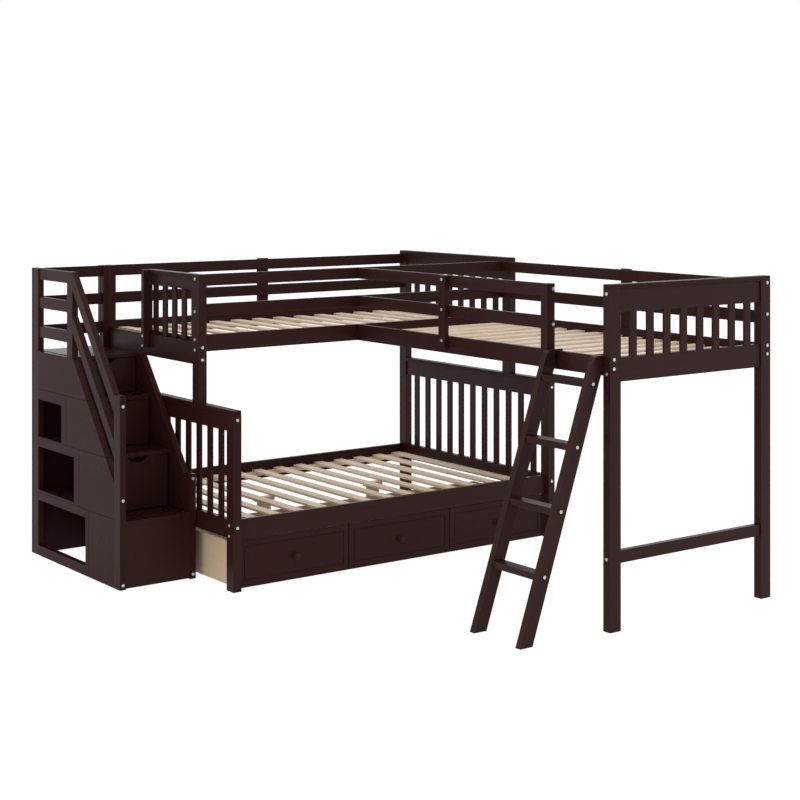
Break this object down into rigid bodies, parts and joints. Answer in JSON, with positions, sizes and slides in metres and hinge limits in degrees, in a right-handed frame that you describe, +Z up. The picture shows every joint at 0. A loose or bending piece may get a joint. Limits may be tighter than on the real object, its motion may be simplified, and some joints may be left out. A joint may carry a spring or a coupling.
{
  "type": "l shaped bunk bed",
  "caption": "L-shaped wooden bunk bed: upper bed over a wider lower bed, loft bed at right angles, storage stairs with drawers, rolling drawers and a lift-off ladder.",
  "frame": {"origin": "on the floor, at the centre of the outer bounds", "axes": "+X along the bunk from the staircase to the headboard, +Y from the loft's far end to the back of the bunk, +Z up"},
  "size_m": [2.539, 3.009, 1.56],
  "materials": {
    "espresso_wood": "satin espresso stain",
    "espresso_panel": "satin espresso stained panel",
    "pine": "bare planed pine",
    "plywood": "clear lacquered plywood",
    "steel": "zinc plated",
    "slide_steel": "zinc plated",
    "black_plastic": "moulded nylon on a steel axle"
  },
  "bodies": {
    "frame": {"lower_front_posts": "espresso_wood", "upper_front_posts": "espresso_wood", "back_posts": "espresso_wood", "loft_posts": "espresso_wood", "end_caps": "espresso_wood", "bunk_end_rails": "espresso_wood", "bunk_end_spindles": "espresso_wood", "loft_end_rails": "espresso_wood", "loft_end_spindles": "espresso_wood", "lower_side_rails": "espresso_wood", "upper_side_rails": "espresso_wood", "bunk_guards": "espresso_wood", "loft_side_rails": "espresso_wood", "loft_guards": "espresso_wood", "guard_posts": "espresso_wood", "guard_battens": "espresso_wood", "lower_slats": "pine", "upper_slats": "pine", "loft_slats": "pine", "slat_ledges": "pine", "centre_legs": "pine", "frame_bolts": "steel", "barrel_nuts": "steel", "stair_posts": "espresso_wood", "stair_left_side": "espresso_panel", "stair_right_side": "espresso_panel", "stair_treads": "espresso_panel", "stair_riser": "espresso_panel", "stair_shelves": "espresso_panel", "stair_dividers": "espresso_panel", "stair_handrails": "espresso_wood", "stair_guards": "espresso_wood", "stair_slides": "slide_steel"},
    "roll_drawer_1": {"roll_1_front": "espresso_panel", "roll_1_box": "plywood", "roll_1_knob": "espresso_wood"},
    "roll_1_front_axle": {"roll_1_front_wheels": "black_plastic"},
    "roll_1_rear_axle": {"roll_1_rear_wheels": "black_plastic"},
    "roll_drawer_2": {"roll_2_front": "espresso_panel", "roll_2_box": "plywood", "roll_2_knob": "espresso_wood"},
    "roll_2_front_axle": {"roll_2_front_wheels": "black_plastic"},
    "roll_2_rear_axle": {"roll_2_rear_wheels": "black_plastic"},
    "roll_drawer_3": {"roll_3_front": "espresso_panel", "roll_3_box": "plywood", "roll_3_knob": "espresso_wood"},
    "roll_3_front_axle": {"roll_3_front_wheels": "black_plastic"},
    "roll_3_rear_axle": {"roll_3_rear_wheels": "black_plastic"},
    "step_drawer_2": {"step_2_front": "espresso_panel", "step_2_box": "plywood", "step_2_slides": "slide_steel"},
    "step_drawer_3": {"step_3_front": "espresso_panel", "step_3_box": "plywood", "step_3_slides": "slide_steel"},
    "step_drawer_4": {"step_4_front": "espresso_panel", "step_4_box": "plywood", "step_4_slides": "slide_steel"},
    "ladder": {"ladder_legs": "espresso_wood", "ladder_rungs": "espresso_wood", "ladder_hardware": "steel"}
  },
  "joints": [
    {"name": "roll_drawer_1_slide", "type": "slide", "parent": "frame", "child": "roll_drawer_1", "axis": [0, -1, 0], "range_m": [0, 0.45]},
    {"name": "roll_1_front_axle_turn", "type": "hinge", "parent": "roll_drawer_1", "child": "roll_1_front_axle", "pos_m": [-0.4615, 0.2115, 0.02], "axis": [1, 0, 0], "range_deg": [0, 1290]},
    {"name": "roll_1_rear_axle_turn", "type": "hinge", "parent": "roll_drawer_1", "child": "roll_1_rear_axle", "pos_m": [-0.4615, 0.6785, 0.02], "axis": [1, 0, 0], "range_deg": [0, 1290]},
    {"name": "roll_drawer_2_slide", "type": "slide", "parent": "frame", "child": "roll_drawer_2", "axis": [0, -1, 0], "range_m": [0, 0.45]},
    {"name": "roll_2_front_axle_turn", "type": "hinge", "parent": "roll_drawer_2", "child": "roll_2_front_axle", "pos_m": [0.2025, 0.2115, 0.02], "axis": [1, 0, 0], "range_deg": [0, 1290]},
    {"name": "roll_2_rear_axle_turn", "type": "hinge", "parent": "roll_drawer_2", "child": "roll_2_rear_axle", "pos_m": [0.2025, 0.6785, 0.02], "axis": [1, 0, 0], "range_deg": [0, 1290]},
    {"name": "roll_drawer_3_slide", "type": "slide", "parent": "frame", "child": "roll_drawer_3", "axis": [0, -1, 0], "range_m": [0, 0.45]},
    {"name": "roll_3_front_axle_turn", "type": "hinge", "parent": "roll_drawer_3", "child": "roll_3_front_axle", "pos_m": [0.8665, 0.2115, 0.02], "axis": [1, 0, 0], "range_deg": [0, 1290]},
    {"name": "roll_3_rear_axle_turn", "type": "hinge", "parent": "roll_drawer_3", "child": "roll_3_rear_axle", "pos_m": [0.8665, 0.6785, 0.02], "axis": [1, 0, 0], "range_deg": [0, 1290]},
    {"name": "step_drawer_2_slide", "type": "slide", "parent": "frame", "child": "step_drawer_2", "axis": [0, -1, 0], "range_m": [0, 0.19]},
    {"name": "step_drawer_3_slide", "type": "slide", "parent": "frame", "child": "step_drawer_3", "axis": [0, -1, 0], "range_m": [0, 0.14]},
    {"name": "step_drawer_4_slide", "type": "slide", "parent": "frame", "child": "step_drawer_4", "axis": [0, -1, 0], "range_m": [0, 0.28]},
    {"name": "ladder_lift", "type": "slide", "parent": "frame", "child": "ladder", "axis": [0, 0, 1], "range_m": [0, 0.06]}
  ],
  "couplings": [
    {"joint": "roll_1_front_axle_turn", "follows": "roll_drawer_1_slide", "rad_per_m": 50},
    {"joint": "roll_1_rear_axle_turn", "follows": "roll_drawer_1_slide", "rad_per_m": 50},
    {"joint": "roll_2_front_axle_turn", "follows": "roll_drawer_2_slide", "rad_per_m": 50},
    {"joint": "roll_2_rear_axle_turn", "follows": "roll_drawer_2_slide", "rad_per_m": 50},
    {"joint": "roll_3_front_axle_turn", "follows": "roll_drawer_3_slide", "rad_per_m": 50},
    {"joint": "roll_3_rear_axle_turn", "follows": "roll_drawer_3_slide", "rad_per_m": 50}
  ]
}
